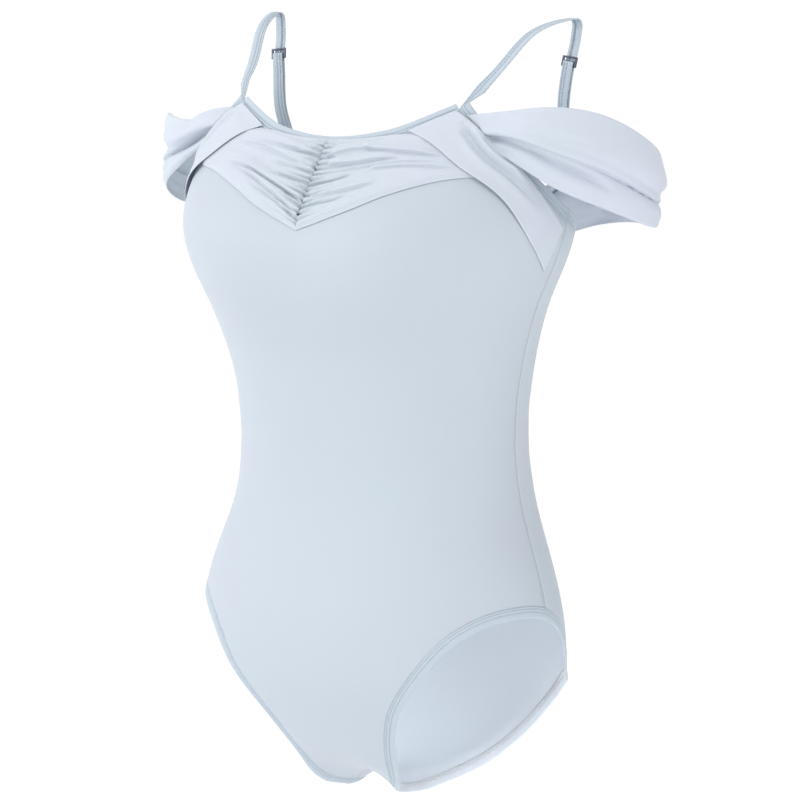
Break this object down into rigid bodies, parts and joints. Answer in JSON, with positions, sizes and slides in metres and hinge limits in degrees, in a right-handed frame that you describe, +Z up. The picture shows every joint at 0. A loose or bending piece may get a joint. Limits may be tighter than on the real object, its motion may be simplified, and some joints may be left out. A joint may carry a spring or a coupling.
{
  "type": "ballet leotard",
  "caption": "Camisole ballet leotard in pale blue stretch jersey with a ruched bust drape, crossover drapes, dropped sleeves and adjustable shoulder straps, filled out as worn.",
  "frame": {"origin": "midway between the tops of the two shoulder straps, where the wearer's shoulders hold the garment up", "axes": "+Z up along the wearer, -Y the front, +X the wearer's left"},
  "size_m": [0.466, 0.2537, 0.6356],
  "materials": {
    "pale_blue_jersey": "smooth stretch jersey with a soft sheen",
    "pale_blue_binding": "folded stretch binding, matte",
    "pale_blue_mesh": "soft fine mesh, matte",
    "grey_metal": "satin grey"
  },
  "bodies": {
    "root": {"front_panel": "pale_blue_jersey", "back_panel": "pale_blue_jersey", "front_neckline_binding": "pale_blue_binding", "back_neckline_binding": "pale_blue_binding", "leg_hem_left": "pale_blue_binding", "bust_drape_left": "pale_blue_mesh", "crossover_drape_left": "pale_blue_mesh", "sleeve_left": "pale_blue_mesh", "strap_left": "pale_blue_binding", "ring_tab_left": "pale_blue_binding", "ring_left": "grey_metal", "slider_left": "grey_metal", "leg_hem_right": "pale_blue_binding", "bust_drape_right": "pale_blue_mesh", "crossover_drape_right": "pale_blue_mesh", "sleeve_right": "pale_blue_mesh", "strap_right": "pale_blue_binding", "ring_tab_right": "pale_blue_binding", "ring_right": "grey_metal", "slider_right": "grey_metal"}
  },
  "joints": []
}
